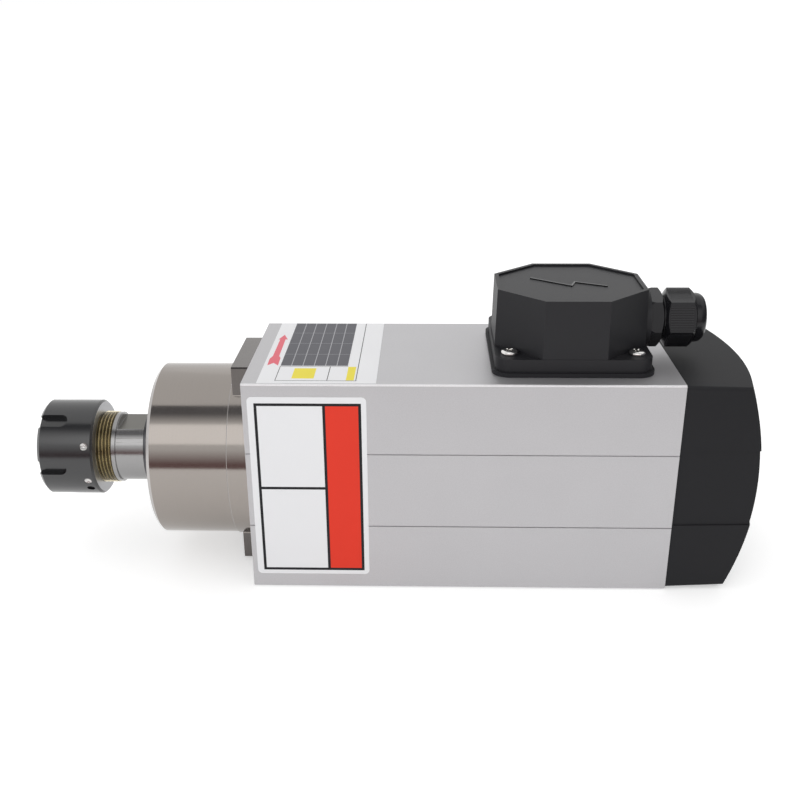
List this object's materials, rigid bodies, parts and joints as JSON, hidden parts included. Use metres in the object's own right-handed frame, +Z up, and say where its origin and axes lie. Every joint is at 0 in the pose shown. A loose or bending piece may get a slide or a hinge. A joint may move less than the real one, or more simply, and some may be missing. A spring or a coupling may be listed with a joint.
{
  "type": "motor spindle",
  "caption": "Square air-cooled electric spindle motor with a collet chuck, round clamping nose, top terminal box with cable gland and a domed rear fan cover.",
  "frame": {"origin": "middle of the flat underside of the square body, which is the mounting face", "axes": "+X along the rotor axis from the collet towards the fan, +Z up towards the terminal box, +Y to the side"},
  "size_m": [0.31, 0.082, 0.124],
  "materials": {
    "body_aluminium": "fine bead-blasted, pale satin",
    "nose_steel": "turned and nickel plated, satin",
    "cap_steel": "turned, satin",
    "shaft_steel": "ground, bright",
    "collet_steel": "ground, bright",
    "nut_black_oxide": "black oxide, satin",
    "bearing_steel": "polished",
    "cage_brass": "machined",
    "core_steel": "laminated, varnished",
    "winding_copper": "enamelled copper, varnished",
    "cast_aluminium": "die cast",
    "cover_plastic": "moulded, black satin",
    "box_plastic": "moulded, black, fine texture",
    "fan_plastic": "moulded, black",
    "gland_nylon": "moulded nylon, black",
    "terminal_plastic": "moulded, cream",
    "gasket_rubber": "matt",
    "seal_rubber": "matt",
    "plated_screw": "zinc plated, bright",
    "black_screw": "black oxide"
  },
  "bodies": {
    "housing": {"motor_body": "body_aluminium", "front_bearing_housing": "nose_steel", "front_seal_cap": "cap_steel", "tie_bolts": "black_screw", "rear_end_shield": "cast_aluminium", "front_bearing_outer_rings": "bearing_steel", "bearing_retainer": "cap_steel", "rear_bearing_outer_ring": "bearing_steel", "wave_spring": "bearing_steel", "stator_core": "core_steel", "stator_windings": "winding_copper", "rear_fan_cover": "cover_plastic", "cover_screws": "black_screw", "terminal_box_gasket": "gasket_rubber", "terminal_box_cover": "box_plastic", "box_screws": "plated_screw", "terminal_block": "terminal_plastic", "gland_body": "gland_nylon", "gland_lock_nut": "gland_nylon"},
    "spindle": {"spindle_shaft": "shaft_steel", "front_bearing_inner_rings": "bearing_steel", "rear_bearing_inner_ring": "bearing_steel", "bearing_lock_nut": "black_screw", "rotor_core": "core_steel", "rotor_end_rings": "cast_aluminium", "cooling_fan": "fan_plastic", "fan_clip": "black_screw"},
    "front_cages": {"front_ball_cages": "cage_brass"},
    "rear_cage": {"rear_ball_cage": "cage_brass"},
    "collet": {"collet": "collet_steel"},
    "nut": {"collet_nut": "nut_black_oxide"},
    "gland_ring": {"gland_seal": "seal_rubber"},
    "gland_nut": {"gland_dome_nut": "gland_nylon"}
  },
  "joints": [
    {"name": "spindle_spin", "type": "hinge", "parent": "housing", "child": "spindle", "pos_m": [0, 0, 0.0474], "axis": [1, 0, 0], "continuous": true},
    {"name": "front_cage_roll", "type": "hinge", "parent": "housing", "child": "front_cages", "pos_m": [-0.1126, 0, 0.0474], "axis": [1, 0, 0], "continuous": true},
    {"name": "rear_cage_roll", "type": "hinge", "parent": "housing", "child": "rear_cage", "pos_m": [0.084, 0, 0.0474], "axis": [1, 0, 0], "continuous": true},
    {"name": "collet_travel", "type": "slide", "parent": "spindle", "child": "collet", "axis": [-1, 0, 0], "range_m": [0, 0.0045]},
    {"name": "nut_turn", "type": "hinge", "parent": "collet", "child": "nut", "pos_m": [-0.171, 0, 0.0474], "axis": [-1, 0, 0], "range_deg": [0, 1080]},
    {"name": "gland_ring_travel", "type": "slide", "parent": "housing", "child": "gland_ring", "axis": [1, 0, 0], "range_m": [0, 0.003]},
    {"name": "gland_nut_turn", "type": "hinge", "parent": "gland_ring", "child": "gland_nut", "pos_m": [0.095, 0, 0.1086], "axis": [1, 0, 0], "range_deg": [0, 720]}
  ],
  "couplings": [
    {"joint": "front_cage_roll", "follows": "spindle_spin", "ratio": 0.407},
    {"joint": "rear_cage_roll", "follows": "spindle_spin", "ratio": 0.382},
    {"joint": "collet_travel", "follows": "nut_turn", "m_per_rad": 0.00023873},
    {"joint": "gland_ring_travel", "follows": "gland_nut_turn", "m_per_rad": 0.00023873}
  ]
}
